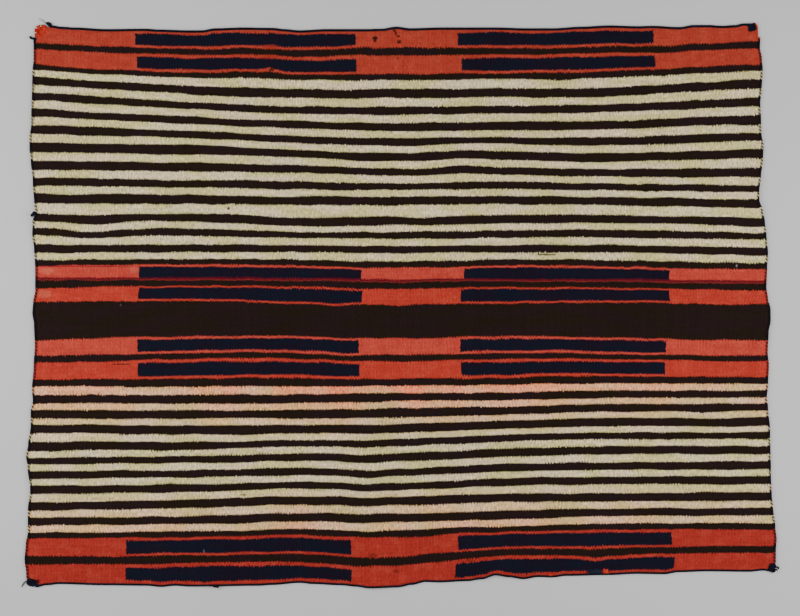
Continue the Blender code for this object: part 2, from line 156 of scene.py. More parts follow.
# How the courses stray from straight. Places here are in steps of 2.44 mm from a frame's top left
# corner, to the right and down; the blanket's middle is at 400.4, 305.5.
frameStep = 2.44 * mm
frameMiddle = (400.4, 305.5)
guides = {
    "across": (40, 205, 300, 400, 500, 600, 755),
    "rows": {  # where each course starts, at those places across
        "brown1": (42.8, 49.6, 51.0, 48.1, 48.8, 47.6, 42.3),
        "red2": (48.2, 54.7, 57.2, 55, 54.6, 53.3, 48.3),
        "border1": (64.3, 73, 75.6, 74.7, 74, 72.5, 64.9),
        "upper1": (69.2, 77.6, 80.4, 79.9, 79.4, 78.9, 71.0),
        "upper2": (84.4, 95.3, 98.5, 98.4, 97.4, 97, 88.7),
        "upper3": (100.7, 110, 114.2, 114.9, 113.6, 112.6, 106.6),
        "upper4": (116.9, 124.8, 128.9, 131.1, 130.2, 129.9, 124.8),
        "upper5": (133.7, 138.7, 143.5, 145.7, 144, 145.5, 141.1),
        "upper6": (152.2, 154.8, 158.5, 161.7, 160.1, 162, 158.7),
        "upper7": (169.5, 171.7, 172.9, 176, 174.4, 176.3, 177.3),
        "upper8": (185.8, 187.8, 189.8, 190.1, 189.1, 190.4, 192.1),
        "upper9": (203.1, 203.9, 205, 204.8, 204.1, 204.8, 208),
        "upper10": (220.7, 221.4, 226.2, 224.5, 223.3, 222.6, 226.2),
        "upper11": (235, 236.3, 237.7, 238.7, 237.7, 237, 239.6),
        "upper12": (252.5, 252.2, 252.5, 253.2, 252.2, 252.5, 255.4),
        "coral1": (265.5, 264.4, 265.1, 267.9, 265.4, 266.2, 269.2),
        "crimson": (277.6, 277.3, 278.0, 279.2, 278.8, 279.2, 280.4),
        "brown2": (280.2, 279.9, 280.6, 281.9, 281.3, 281.7, 283.2),
        "coral2": (288.2, 285.4, 286.1, 288.7, 286.8, 287, 290.2),
        "wideBrown": (302.2, 301.6, 304.5, 305.4, 304.1, 303, 305),
        "coral3": (340, 335.7, 335.9, 337.7, 335.7, 336.8, 339.9),
        "brown3": (355.9, 353.5, 353.8, 355.2, 353.9, 354.5, 355.6),
        "coral4": (362.3, 358.4, 358.4, 360.8, 358.8, 359.2, 360.6),
        "border2": (380, 379.4, 378.4, 379.4, 378.4, 376.6, 377.3),
        "lower1": (386.3, 386.2, 385.7, 385, 384.7, 383.2, 383.3),
        "lower2": (403.3, 403.3, 402.7, 401, 400, 397.9, 397.3),
        "lower3": (418.3, 418.4, 418, 417, 414.7, 411.5, 410.8),
        "lower4": (432.9, 434.3, 433.6, 432.3, 428.9, 426.2, 425.6),
        "lower5": (452, 449.4, 446.7, 446.1, 441.5, 439.1, 438.7),
        "lower6": (463.9, 462.9, 460.6, 461.5, 456.8, 454.6, 453.5),
        "lower7": (478.5, 477.1, 475.4, 476.1, 471.6, 469.9, 469),
        "lower8": (493.8, 491.4, 488.4, 489.7, 485.9, 484.3, 483.9),
        "lower9": (510.6, 507.4, 504.6, 505, 502, 501.4, 500.4),
        "lower10": (524.7, 523.5, 521.2, 521.6, 519.2, 515.8, 514.9),
        "deep1": (538, 536.2, 534.1, 536.8, 531.4, 529.1, 528.7),
        "brown4": (556.4, 555.0, 554.3, 557.3, 548.9, 548.2, 546.2),
        "deep2": (563.8, 562.4, 561.3, 564.7, 555.0, 555.2, 552.1),
    },
    "humps": (  # where a few courses rise: middle across and down, half long, half high, rise
        (271, 67, 11, 10, 2.4), (465, 159, 26, 16, 2.2), (365, 478, 20, 50, -1.8),
        (95, 64, 45, 15, -2.6), (120, 48, 60, 7, -1.3), (160, 74, 34, 8, -1.4),
        (243, 50, 20, 10, 2.1), (244, 72, 20, 14, 2.3), (282, 58, 14, 14, 1.0),
        (272, 69, 8, 4, 1.9), (258, 43, 12, 4, 1.0), (182, 56, 18, 5, -1.1),
        (680, 46, 14, 4, -1.4), (642, 267, 10, 4, 1.8), (350, 386, 20, 4, -1.4),
        (210, 582, 8, 4, -1.6), (590, 559, 9, 5, -1.4), (365, 50, 14, 8, 1.3),
        (430, 52, 18, 8, -1.3), (665, 52, 22, 9, -1.6), (662, 72, 16, 8, -1.0),
        (95, 287, 36, 6, 1.0), (110, 337, 55, 8, 1.1), (92, 379, 24, 6, 1.2),
        (244, 351, 18, 6, 1.7), (238, 380, 22, 9, 1.0), (335, 304, 16, 6, -1.3),
        (345, 350, 18, 28, -1.8), (465, 296, 18, 18, 1.2), (460, 366, 28, 12, 1.1),
        (552, 350, 32, 9, 1.3), (555, 374, 30, 8, 1.5), (712, 350, 22, 15, -1.0),
        (140, 557, 24, 10, -1.3), (258, 538, 20, 4, -1.2), (225, 566, 40, 5, 1.2),
        (336, 546, 18, 14, -1.1), (348, 566, 18, 6, -1.6), (448, 533, 32, 8, 1.3),
        (450, 562, 20, 5, -1.2), (640, 554, 32, 6, 1.3), (90, 227, 36, 16, -3.6),
        (430, 219, 20, 6, -2.6), (700, 127, 40, 10, 1.3), (730, 216, 40, 4, 1.8),
        (205, 145, 34, 4, 1.5), (300, 140, 46, 55, 0.6), (90, 445, 50, 14, 1.0),
        (400, 466, 480, 70, 0.45), (700, 419, 30, 12, -1.4), (300, 343, 60, 11, 0.8),
        (432, 556, 22, 10, 2.0), (700, 549, 40, 8, 1.2), (593, 561, 9, 9, -1.3),
    ),
}
barEnds = {  # where the left bar and the right bar of each row start and stop
    "top1": (135.5, 355.0, 457.5, 652.3),
    "top2": (137.0, 356.3, 460.5, 654.0),
    "middle1": (139.0, 361.8, 464.0, 668.7),
    "middle2": (139.0, 361.6, 460.2, 669.0),
    "middle3": (138.0, 358.7, 460.5, 666.3),
    "middle4": (137.5, 359.8, 461.0, 664.5),
    "bottom1": (126.3, 351.6, 458.0, 671.4),
    "bottom2": (126.3, 352.0, 454.8, 674.6),
}


def edgeCurve(rows):
    # between two rows the value eases over with 3w^2 - 2w^3
    rows = sorted(rows)
    places = np.array([row[0] for row in rows]) * mm
    values = np.array([row[1] for row in rows]) * mm

    def waver(place):
        place = np.clip(place, places[0], places[-1])
        before = np.clip(np.searchsorted(places, place) - 1, 0, len(places) - 2)
        w = (place - places[before]) / (places[before + 1] - places[before])
        return values[before] + (values[before + 1] - values[before]) * w * w * (3 - 2 * w)

    return waver


topWaver, bottomWaver = edgeCurve(blanket["topEdge"]), edgeCurve(blanket["bottomEdge"])
leftWaver, rightWaver = edgeCurve(blanket["leftEdge"]), edgeCurve(blanket["rightEdge"])
inset = blanket["cord"] + blanket["edgeGap"]
halfX, halfY = blanket["width"] / 2 - inset, blanket["height"] / 2 - inset


def liftAt(x, y):
    # sum of turned bell-shaped ripples, h exp(-a^2 - b^2), less the cut, never under the floor
    total = np.zeros_like(x)
    for across, up, halfLong, halfWide, turn, lift in blanket["ripples"]:
        angle = np.radians(turn)
        dx, dy = x - across * mm, y - up * mm
        a = (dx * np.cos(angle) + dy * np.sin(angle)) / (halfLong * mm)
        b = (dy * np.cos(angle) - dx * np.sin(angle)) / (halfWide * mm)
        total = total + lift * mm * np.exp(-a * a - b * b)
    return np.maximum(total - blanket["restCut"], 0)


def roundedCorner(x, y):
    # each corner's square is bent to a quarter disc: a sqrt(1 - b^2/2), b sqrt(1 - a^2/2)
    for (sideX, sideY), radius in blanket["cornerRadii"].items():
        r = radius * mm
        a, b = (sideX * x - halfX + r) / r, (sideY * y - halfY + r) / r
        inside = (a > 0) & (b > 0)
        a, b = np.clip(a, 0, 1), np.clip(b, 0, 1)
        bentA, bentB = a * np.sqrt(1 - b * b / 2), b * np.sqrt(1 - a * a / 2)
        x = np.where(inside, sideX * (halfX - r + r * bentA), x)
        y = np.where(inside, sideY * (halfY - r + r * bentB), y)
    return x, y


def clothPlace(x, y):
    # a point of the plain rectangle moved with its edges, and the height it lies at
    x, y = roundedCorner(x, y)
    toRight, toTop = (x / halfX + 1) / 2, (y / halfY + 1) / 2
    movedX = x + toRight * rightWaver(y) - (1 - toRight) * leftWaver(y)
    movedY = y + toTop * topWaver(x) - (1 - toTop) * bottomWaver(x)
    return movedX, movedY, liftAt(movedX, movedY)


def smoothWeights(knots, at):
    # weights of a smooth curve through the knots at each place: cubic pieces whose slope at a
    # knot is that of the straight line between its neighbours
    last = len(knots) - 1
    number, eye = np.arange(last + 1), np.eye(last + 1)
    before, after = np.maximum(number - 1, 0), np.minimum(number + 1, last)
    slopes = (eye[after] - eye[before]) / (knots[after] - knots[before])[:, None]
    cell = np.clip(np.searchsorted(knots, at) - 1, 0, last - 1)
    size = knots[cell + 1] - knots[cell]
    w = np.clip((at - knots[cell]) / size, 0, 1)
    return (
        (2 * w**3 - 3 * w**2 + 1)[:, None] * eye[cell]
        + (3 * w**2 - 2 * w**3)[:, None] * eye[cell + 1]
        + ((w**3 - 2 * w**2 + w) * size)[:, None] * slopes[cell]
        + ((w**3 - w**2) * size)[:, None] * slopes[cell + 1]
    )


# Every course in order: the guide it carries, its yarn, its depth and its row of bars
def fieldCourses(pairs, name):
    rows = []
    for number, (creamDepth, brownDepth) in enumerate(pairs, start=1):
        rows.append((f"{name}{number}", "cream", creamDepth, ""))
        rows.append(("", "brown", brownDepth, ""))
    return tuple(rows)


allCourses = (
    courses["topGroup"]
    + fieldCourses(courses["upperField"], "upper")
    + courses["middleGroup"]
    + fieldCourses(courses["lowerField"], "lower")
    + courses["bottomGroup"]
)
depths = np.array([row[2] for row in allCourses]) * mm
courseStarts = np.concatenate([[0], np.cumsum(depths)[:-1]])
loomHeight = float(depths.sum())
loomWidth = 2 * halfX
startOf = {row[0]: start for row, start in zip(allCourses, courseStarts) if row[0]}
darkYarns = ("brown", "middleBrown", "crimson")
sliver = 2  # mm; a course under this packs as the dark ones beside it do
isDark = np.array([
    row[1] in darkYarns or bool(row[3]) or row[2] < sliver for row in allCourses
])
print("courses:", len(allCourses), "loom height mm:", round(loomHeight / mm, 1))


def upOf(x, v):
    # height on the floor of each course at each place across: smooth through the guides down
    # the loom, and along each guide, then raised where a few courses hump
    across = (np.array(guides["across"]) - frameMiddle[0]) * frameStep
    names = sorted(guides["rows"], key=lambda name: startOf[name])
    along = smoothWeights(across, np.clip(x, across[0], across[-1]))
    rows = [(frameMiddle[1] - np.array(guides["rows"][name])) * frameStep for name in names]
    lines = [halfY + topWaver(x)] + [along @ row for row in rows] + [-halfY - bottomWaver(x)]
    knots = np.array([0] + [startOf[name] for name in names] + [loomHeight])
    up = smoothWeights(knots, v) @ np.array(lines)
    for right, down, halfLong, halfHigh, rise in guides["humps"]:
        a = (x[None, :] / frameStep + frameMiddle[0] - right) / halfLong
        b = (frameMiddle[1] - up / frameStep - down) / halfHigh
        up = up + rise * frameStep * np.exp(-a * a - b * b)
    return up


def plainUp(x, up):
    # the plain rectangle's height that clothPlace moves to this one
    top, bottom = topWaver(x), bottomWaver(x)
    return (up - (top - bottom) / 2) / (1 + (top + bottom) / (2 * halfY))


def plainAcross(across, y):
    # the plain rectangle's place across that clothPlace moves to this one, at a height
    left, right = leftWaver(y), rightWaver(y)
    return (across - (right - left) / 2) / (1 + (right + left) / (2 * halfX))


def meshPiece(name, places, faces, material, uv=None, smooth=True):
    mesh = bpy.data.meshes.new(name)
    mesh.from_pydata(places.tolist(), [], [list(face) for face in faces])
    if smooth:
        mesh.polygons.foreach_set("use_smooth", np.ones(len(faces), dtype=bool))
    if uv is not None:
        corners = np.empty(len(mesh.loops), dtype=np.int32)
        mesh.loops.foreach_get("vertex_index", corners)
        layer = mesh.uv_layers.new(name="loom")
        layer.data.foreach_set("uv", uv[corners].astype(np.float32).ravel())
    mesh.materials.append(material)
    mesh.validate()
    piece = bpy.data.objects.new(name, mesh)
    bpy.context.scene.collection.objects.link(piece)
    return piece


def gridFaces(rows, columns, first=0, turned=False):
    corner = np.arange(rows - 1)[:, None] * columns + np.arange(columns - 1)[None, :]
    corner = corner.ravel() + first
    faces = np.stack([corner, corner + columns, corner + columns + 1, corner + 1], axis=1)
    return faces[:, ::-1] if turned else faces


def linear(hexColour):
    # sRGB hex to linear light
    value = np.array([int(hexColour[k : k + 2], 16) for k in (1, 3, 5)]) / 255
    return tuple(np.where(value <= 0.04045, value / 12.92, ((value + 0.055) / 1.055) ** 2.4))


def addNode(tree, kind, inputs=(), output=0, **settings):
    # one node with its settings and links; inputs are values or sockets, by place or by name
    made = tree.nodes.new("ShaderNode" + kind)
    for name, value in settings.items():
        setattr(made, name, value)
    pairs = inputs.items() if isinstance(inputs, dict) else enumerate(inputs)
    for socket, value in pairs:
        if isinstance(value, bpy.types.NodeSocket):
            tree.links.new(value, made.inputs[socket])
        elif value is not None:
            made.inputs[socket].default_value = value
    return made.outputs[output] if made.outputs else None


def newMaterial(name):
    made = bpy.data.materials.new(name)
    made.use_nodes = True
    tree = made.node_tree
    tree.nodes.clear()
    return made, tree


def calc(tree, operation, *values):
    return addNode(tree, "Math", values, operation=operation)


def folded(tree, operation, *values):
    # several values worked into one, two at a time
    result = values[0]
    for value in values[1:]:
        result = calc(tree, operation, result, value)
    return result


def stretched(tree, value, fromLow=0.0, fromHigh=1.0, toLow=0.0, toHigh=1.0):
    # its place between the first two numbers, kept between the last two
    return addNode(tree, "MapRange", (value, fromLow, fromHigh, toLow, toHigh))


def blended(tree, share, under, over):
    # a share of one colour over another, each a socket or an sRGB hex
    under, over = (
        (*linear(shade), 1) if isinstance(shade, str) else shade for shade in (under, over)
    )
    return addNode(tree, "Mix", {0: share, 6: under, 7: over}, 2, data_type="RGBA")


solidNoises = {  # waves to a metre, detail, roughness
    "blotches": (4.5, 3.0, 0.6),
    "flecks": (420.0, 2.0, 0.5),
    "stainAndShadeRims": (160.0, 2.0, 0.5),
    "fibres": (900.0, 2.0, 0.5),
    "thinDye": (60.0, 2.0, 0.5),
}
loomNoises = {  # waves to a metre across and down the loom, detail
    "wander": (11, 30, 2.0),
    "streaks": (5, 420, 3.0),  # skeins: long along the wefts, a few picks deep
    "patches": (9, 34, 2.0),
    "beads": (290, 130, 2.0),
    "dyeLots": (30, 44, 3.0),
}


def solidNoise(tree, place, name):
    scale, detail, roughness = solidNoises[name]
    inputs = {"Vector": place, "Scale": scale, "Detail": detail, "Roughness": roughness}
    return addNode(tree, "TexNoise", inputs)


def loomNoise(tree, loom, name):
    across, down, detail = loomNoises[name]
    place = addNode(tree, "Mapping", {"Vector": loom, "Scale": (across, down, 1)})
    inputs = {"Vector": place, "Scale": 1.0, "Detail": detail}
    return addNode(tree, "TexNoise", inputs, noise_dimensions="2D")


def woolSurface(tree, colour, height, relief, look):
    bump = addNode(tree, "Bump", {"Strength": relief[0], "Distance": relief[1], "Height": height})
    roughness, specular, sheen = look
    shader = addNode(tree, "BsdfPrincipled", {
        "Base Color": colour, "Normal": bump, "Roughness": roughness,
        "Specular IOR Level": specular, "Sheen Weight": sheen, "Sheen Roughness": 0.5,
    })
    addNode(tree, "OutputMaterial", [shader])


# Banded wool: handspun singles beaten down over the warps, so the warps show only as ribs and
# a change of colour runs in small teeth. Matt, with a faint sheen of fibre ends.
weave = {
    "rib": 3.4 * mm,  # from one warp to the next
    "pick": 1.1 * mm,  # real wefts are 0.8 mm; drawn a little coarser so that they show close to
    "tooth": 1.4 * mm,  # how far a colour reaches down over every second warp
    "jitter": 3.6 * mm,  # span of a noise that changes from warp to warp
    "jitterScale": (0.6, 90.0),  # of that noise, and how much faster it changes down a warp
    "wander": 7.04 * mm,  # span of a slow noise along a course's edge
    "spread": 1.2 * mm,  # how far dark picks pack over the pale ones beside them
    "barStep": 4.0 * mm,  # how deep each step of a bar's end is
    "barTurn": (0.2, 0.6),  # in ribs: how far a step always and at most moves
    "beadDepth": (0.75, 1.55),  # of the mottling, in dyed wool and in cream
    "picksShow": 0.3,  # share of the relief
    "flecksShow": 0.35,
    "relief": (0.8, 0.35 * mm),  # strength and depth
    "look": (0.93, 0.08, 0.06),  # roughness, specular, sheen
}
tones = {  # two values of a noise or wave, and how bright the wool is at each; pair and crown are painted shade of the ribs
    "streaks": (0.3, 0.7, 0.9, 1.08),
    "blotches": (0.3, 0.7, 0.95, 1.05),
    "flecks": (0.3, 0.7, 0.86, 1.12),
    # painted shade: every second warp, the one that lies lower, a little darker
    "pair": (-1.0, 1.0, 0.98, 1.02),
    # painted shade: up to a fifth darker between two warps, with a touch of painted highlight on a
    # warp's crown
    "crown": (-1.0, 0.4, 0.8, 1.03),
    "ribDye": (0.0, 1.0, 0.94, 1.06),
}
shades = {  # the two wools that a yarn wanders between, where, and how much of them shows
    "cream": ("#D2C688", "#E3CFA6", 0.42, 0.6, 1.0),  # greenish yellow, pinkish
    "brown": ("#1E1409", "#221116", 0.4, 0.62, 0.55),  # olive, violet
    "indigo": ("#0E1120", "#140D1D", 0.4, 0.62, 1.0),  # blue, violet
}
dyeLots = {  # of the reds: colour, strength, and where in the noise it starts and is full
    "paler": ("#C6573F", 0.16, 0.51, 0.66),
    "deeper": ("#982718", 0.2, 0.51, 0.36),
}
bleeding = {  # red dye that ran into the cream of the lower field, most beside the red groups
    "colour": "#FF8C62",
    "fromAbove": (0.14, 1.3),  # how far in metres, and the power by which it fades
    "fromBelow": (0.12, 0.6),  # how far, and its strength
    "blotches": (0.38, 0.56, 0.5, 1.15),
    "middle": -0.06,  # across, where it is strongest
    "aside": (0.1, 0.55, 1.0, 0.6),
}
stainAndShadeRim = {"span": 1.1, "fades": (0.75, 1.1)}  # of the noise, and in sizes of the stain or shade patch from its middle
chunk = 12  # courses to a ramp
rampSteps = 255
stainsAndKnotShade = (  # across, up, half long, half high in mm, colour, strength; stains, mends, worn spots and one patch of painted shade
    (-62, 649, 4, 9, "#33120D", 0.9),
    (-62, 652, 7, 4, "#33120D", 0.9),
    (-62, 666, 5, 3, "#BE281C", 0.6),
    (-15, 671, 4, 4, "#3A1510", 0.85),
    (-11, 664, 3, 5, "#3A1510", 0.85),
    (-5, 657, 5, 3, "#3A1510", 0.8),
    (-3, 643, 5, 5, "#33120D", 0.85),
    (-8, 634, 6, 4, "#BE281C", 0.6),
    (-6, 603, 5, 4, "#6A2418", 0.6),
    (6, 583, 4, 3, "#74281A", 0.5),
    (-313, 575, 7, 4, "#33120D", 0.85),
    (-320, 631, 25, 6, "#962B1E", 0.6),  # two picked-up rows of the mend
    (-320, 606, 25, 6, "#962B1E", 0.6),
    (-67, -609, 12, 6, "#5E2013", 0.6),
    (-11, -648, 9, 5, "#5E2013", 0.55),
    (170, -622, 8, 5, "#5E2013", 0.6),
    (-419, 237, 4, 4, "#2E2218", 0.9),
    (-382, -462, 8, 2, "#3A2C1E", 0.9),
    (357, 124, 27, 2.2, "#20140F", 0.85),
    (-681, -143, 24, 2.0, "#20140F", 0.7),
    (-682, 1, 2.6, 2.4, "#4E4844", 0.8),
    (820, 97, 2.4, 3.2, "#8D8390", 0.85),
    (-479, -598, 2.6, 3.6, "#46525E", 0.85),
    (-877, 671, 14, 15, "#B62A1E", 0.8),  # rewoven corner
    (-762, 95.6, 118, 1.6, "#8E1226", 0.85),  # a crimson pick above the left end of its row
    (-862, 84, 20, 9, "#CE6C54", 0.4),  # coral wool worn paler
    (-650, 87, 13, 8, "#CE6C54", 0.35),
    (-868, 28, 20, 10, "#CE6C54", 0.35),
    (474, -651, 23, 9, "#131726", 0.97),  # indigo darn at the bottom edge
    (476, -653, 16, 11, "#1C2434", 0.9),  # its rubbed middle
    # painted shade: the knot's shade on the cloth, a very dark red patch right beside the bottom
    # left knot
    (-886, -673, 8, 5, "#3A1014", 0.95),
    (502, -653, 6.5, 6, "#A8342A", 0.9),
)


# where each course shows from: a dark one starts sooner and its pale neighbour later
shownStarts = courseStarts + weave["spread"] * (np.roll(isDark, 1).astype(float) - isDark)


def courseRamp(tree, down, first, last):
    # one constant ramp over some of the courses, stretched to their own depth because a ramp is
    # kept as 256 steps; its alpha is the yarn's kind
    start, stop = shownStarts[first], courseStarts[last - 1] + depths[last - 1]
    ramp = addNode(tree, "ValToRGB", [stretched(tree, down, start, stop)]).node
    ramp.color_ramp.interpolation = "CONSTANT"
    stops = ramp.color_ramp.elements
    for number in range(first, last):
        _, yarn, _, bars = allCourses[number]
        colour, kind = yarns[yarn]
        if bars:
            kind += barCode * (1 + list(barEnds).index(bars))
        position = (shownStarts[number] - start) / (stop - start)
        step = stops[0] if number == first else stops.new(max(position - 0.5 / rampSteps, 0))
        step.color = (*linear(colour), kind)
    stops.remove(stops[-1])
    return ramp.outputs[0], ramp.outputs[1]


def courseColour(tree, down):
    # the ramps one after another
    colour, kind = courseRamp(tree, down, 0, chunk)
    for first in range(chunk, len(allCourses), chunk):
        nextColour, nextKind = courseRamp(tree, down, first, min(first + chunk, len(allCourses)))
        past = calc(tree, "GREATER_THAN", down, shownStarts[first])
        colour = blended(tree, past, colour, nextColour)
        kind = addNode(tree, "Mix", {0: past, 2: kind, 3: nextKind}, 0, data_type="FLOAT")
    return colour, kind


def ribWaves(tree, u):
    # cos(2 pi u / rib) is 1 on a warp's crown and -1 between two warps; cos(pi u / rib) tells
    # every second warp from its neighbours; the last is the warp's number
    rib = weave["rib"]
    crown = calc(tree, "COSINE", calc(tree, "MULTIPLY", u, 2 * np.pi / rib))
    pair = calc(tree, "COSINE", calc(tree, "MULTIPLY", u, np.pi / rib))
    number = calc(tree, "ADD", calc(tree, "MULTIPLY", u, 1 / rib), 0.5)
    return crown, pair, calc(tree, "FLOOR", number)


def courseRead(tree, loom, v, pair, ribNumber):
    # the place down the loom whose course shows: v with a slow wander, teeth over every second
    # warp and a jitter
    slow = calc(tree, "SUBTRACT", loomNoise(tree, loom, "wander"), 0.5)
    slow = calc(tree, "MULTIPLY", slow, weave["wander"])
    tooth = calc(tree, "MULTIPLY", pair, weave["tooth"])
    scale, faster = weave["jitterScale"]
    warpPlace = addNode(tree, "CombineXYZ", [ribNumber, calc(tree, "MULTIPLY", v, faster)])
    inputs = {"Vector": warpPlace, "Scale": scale, "Detail": 0.0}
    jitter = addNode(tree, "TexNoise", inputs, noise_dimensions="2D")
    jitter = calc(tree, "MULTIPLY", calc(tree, "SUBTRACT", jitter, 0.5), weave["jitter"])
    return calc(tree, "MAXIMUM", folded(tree, "ADD", v, slow, tooth, jitter), 0.0)


def barMask(tree, u, v, kind):
    # the ramp turns a row's code into the four places across between which its bars lie; a
    # bar's end steps from warp to warp, a few picks at a time
    ramp = addNode(tree, "ValToRGB", [kind]).node
    ramp.color_ramp.interpolation = "CONSTANT"
    stops = ramp.color_ramp.elements
    stops[0].color = stops[-1].color = (0, 0, 0, 0)
    rowOf = [course[3] for course in allCourses]
    codes = yarns["red"][1] + barCode * (np.arange(len(barEnds) + 1) + 0.5)
    for (row, ends), code in zip(barEnds.items(), codes):
        places = (np.array(ends) - frameMiddle[0]) * frameStep
        up = halfY - courseStarts[rowOf.index(row)]
        stops.new(code).color = (plainAcross(places, up) + halfX) / loomWidth
    stops[-1].position = codes[-1]
    least, most = (share * weave["rib"] for share in weave["barTurn"])
    stepNumber = calc(tree, "FLOOR", calc(tree, "MULTIPLY", v, 1 / weave["barStep"]))
    turnBack = addNode(tree, "TexWhiteNoise", {"W": stepNumber}, noise_dimensions="1D")
    across = folded(tree, "ADD", u, calc(tree, "MULTIPLY", turnBack, most), least)
    across = calc(tree, "MULTIPLY", calc(tree, "SNAP", across, weave["rib"]), 1 / loomWidth)
    limits = addNode(tree, "SeparateColor", [ramp.outputs[0]]).node.outputs
    bars = [
        calc(
            tree, "MULTIPLY",
            calc(tree, "GREATER_THAN", across, start), calc(tree, "LESS_THAN", across, stop),
        )
        for start, stop in ((limits[0], limits[1]), (limits[2], ramp.outputs[1]))
    ]
    return calc(tree, "MAXIMUM", *bars)


def bledColour(tree, colour, place, down, blotches, isCream):
    top, bottom = startOf["lower1"], startOf["deep1"]
    far, fade = bleeding["fromAbove"]
    above = calc(tree, "POWER", stretched(tree, down, top, top + far, 1.0, 0.0), fade)
    above = calc(tree, "MULTIPLY", above, calc(tree, "GREATER_THAN", down, top))
    far, strength = bleeding["fromBelow"]
    below = stretched(tree, down, bottom - far, bottom, 0.0, strength)
    across = calc(tree, "ADD", addNode(tree, "SeparateXYZ", [place]), -bleeding["middle"])
    share = folded(
        tree, "MULTIPLY", calc(tree, "MAXIMUM", above, below),
        stretched(tree, blotches, *bleeding["blotches"]),
        stretched(tree, calc(tree, "ABSOLUTE", across), *bleeding["aside"]), isCream,
    )
    return blended(tree, share, colour, bleeding["colour"])


def stainedAndShadedColour(tree, colour, place):
    # each stain, mend, worn spot or patch of painted shade is an ellipse with a ragged rim
    rim = calc(tree, "SUBTRACT", solidNoise(tree, place, "stainAndShadeRims"), 0.5)
    rim = calc(tree, "MULTIPLY", rim, stainAndShadeRim["span"])
    for across, up, halfLong, halfHigh, shade, strength in stainsAndKnotShade:
        middle, squeeze = (across * mm, up * mm, 0), (1 / (halfLong * mm), 1 / (halfHigh * mm), 0)
        reach = addNode(tree, "VectorMath", [place, middle], operation="SUBTRACT")
        reach = addNode(tree, "VectorMath", [reach, squeeze], operation="MULTIPLY")
        reach = addNode(tree, "VectorMath", [reach], "Value", operation="LENGTH")
        reach = calc(tree, "ADD", reach, rim)
        share = stretched(tree, reach, *stainAndShadeRim["fades"], strength, 0.0)
        colour = blended(tree, share, colour, shade)
    return colour


def bandedWool():
    material, tree = newMaterial("bandedHandwovenWool")
    loom = addNode(tree, "UVMap", uv_map="loom")
    place = addNode(tree, "TexCoord", output="Object")
    u, v = (addNode(tree, "SeparateXYZ", [loom], axis) for axis in (0, 1))
    crown, pair, ribNumber = ribWaves(tree, u)
    down = courseRead(tree, loom, v, pair, ribNumber)
    colour, kind = courseColour(tree, down)
    bar = barMask(tree, u, v, kind)
    kind = calc(tree, "MAXIMUM", kind, bar)

    # the kinds of yarn; the reds' codes run from the plain one up to the last row of bars
    margin, halfRow = 0.06, barCode * len(barEnds) / 2
    isCream = calc(tree, "COMPARE", kind, yarns["cream"][1], margin)
    isBrown = calc(tree, "LESS_THAN", kind, margin)
    isRed = calc(tree, "COMPARE", kind, yarns["red"][1] + halfRow, halfRow + barCode)

    # each yarn wanders between two wools, and the reds between dye lots
    streaks, patches, beads, lots = (
        loomNoise(tree, loom, name) for name in ("streaks", "patches", "beads", "dyeLots")
    )
    blotches, flecks = (solidNoise(tree, place, name) for name in ("blotches", "flecks"))
    for name, where in (("cream", isCream), ("brown", isBrown), ("indigo", bar)):
        first, second, low, high, strength = shades[name]
        wool = blended(tree, stretched(tree, patches, low, high), first, second)
        colour = blended(tree, calc(tree, "MULTIPLY", where, strength), colour, wool)
    for shade, strength, low, high in dyeLots.values():
        share = folded(tree, "MULTIPLY", stretched(tree, lots, low, high), isRed, strength)
        colour = blended(tree, share, colour, shade)
    colour = bledColour(tree, colour, place, down, blotches, isCream)
    colour = stainedAndShadedColour(tree, colour, place)

    # light and dark of the handspun yarn, and painted shade of the ribs: between warps and on every
    # second, lower warp
    beadDepth = stretched(tree, isCream, 0.0, 1.0, *weave["beadDepth"])
    beadTone = calc(tree, "MULTIPLY_ADD", calc(tree, "SUBTRACT", beads, 0.5), beadDepth, 1.0)
    ribDye = addNode(tree, "TexWhiteNoise", {"W": ribNumber}, noise_dimensions="1D")
    # the yarn's own uneven tone, with pair and crown as painted shade of the ribs
    yarnToneAndRibShade = {
        "streaks": streaks, "blotches": blotches, "flecks": flecks,
        "pair": pair, "crown": crown, "ribDye": ribDye,
    }
    tone = folded(tree, "MULTIPLY", beadTone, *(
        stretched(tree, value, *tones[name]) for name, value in yarnToneAndRibShade.items()
    ))
    colour = addNode(tree, "VectorMath", {0: colour, "Scale": tone}, operation="SCALE")

    # relief: rounded ribs crossed by picks that pass over every other warp
    parity = calc(tree, "MULTIPLY", ribNumber, np.pi / 2)
    pickAngle = calc(tree, "MULTIPLY_ADD", v, np.pi / weave["pick"], parity)
    pickWave = calc(tree, "ABSOLUTE", calc(tree, "SINE", pickAngle))
    relief = calc(tree, "MULTIPLY_ADD", crown, 0.5, 0.5)
    relief = calc(tree, "MULTIPLY_ADD", pickWave, weave["picksShow"], relief)
    relief = calc(tree, "MULTIPLY_ADD", flecks, weave["flecksShow"], relief)
    woolSurface(tree, colour, relief, weave["relief"], weave["look"])
    return material


plainWeave = {
    "thin": (0.4, 0.68),  # of the noise: where the dye starts to thin and is thinnest
    "tone": (0.3, 0.7, 0.75, 1.25),
    "relief": (0.6, 0.3 * mm),
    "look": (0.88, 0.1, 0.04),
}


def plainWool(name, dark, pale):
    # wool of one dye: paler where the dye is thin, with fibres that catch light
    material, tree = newMaterial(name)
    place = addNode(tree, "TexCoord", output="Object")
    fine = solidNoise(tree, place, "fibres")
    thin = stretched(tree, solidNoise(tree, place, "thinDye"), *plainWeave["thin"])
    tone = stretched(tree, fine, *plainWeave["tone"])
    colour = blended(tree, thin, dark, pale)
    colour = addNode(tree, "VectorMath", {0: colour, "Scale": tone}, operation="SCALE")
    woolSurface(tree, colour, fine, plainWeave["relief"], plainWeave["look"])
    return material


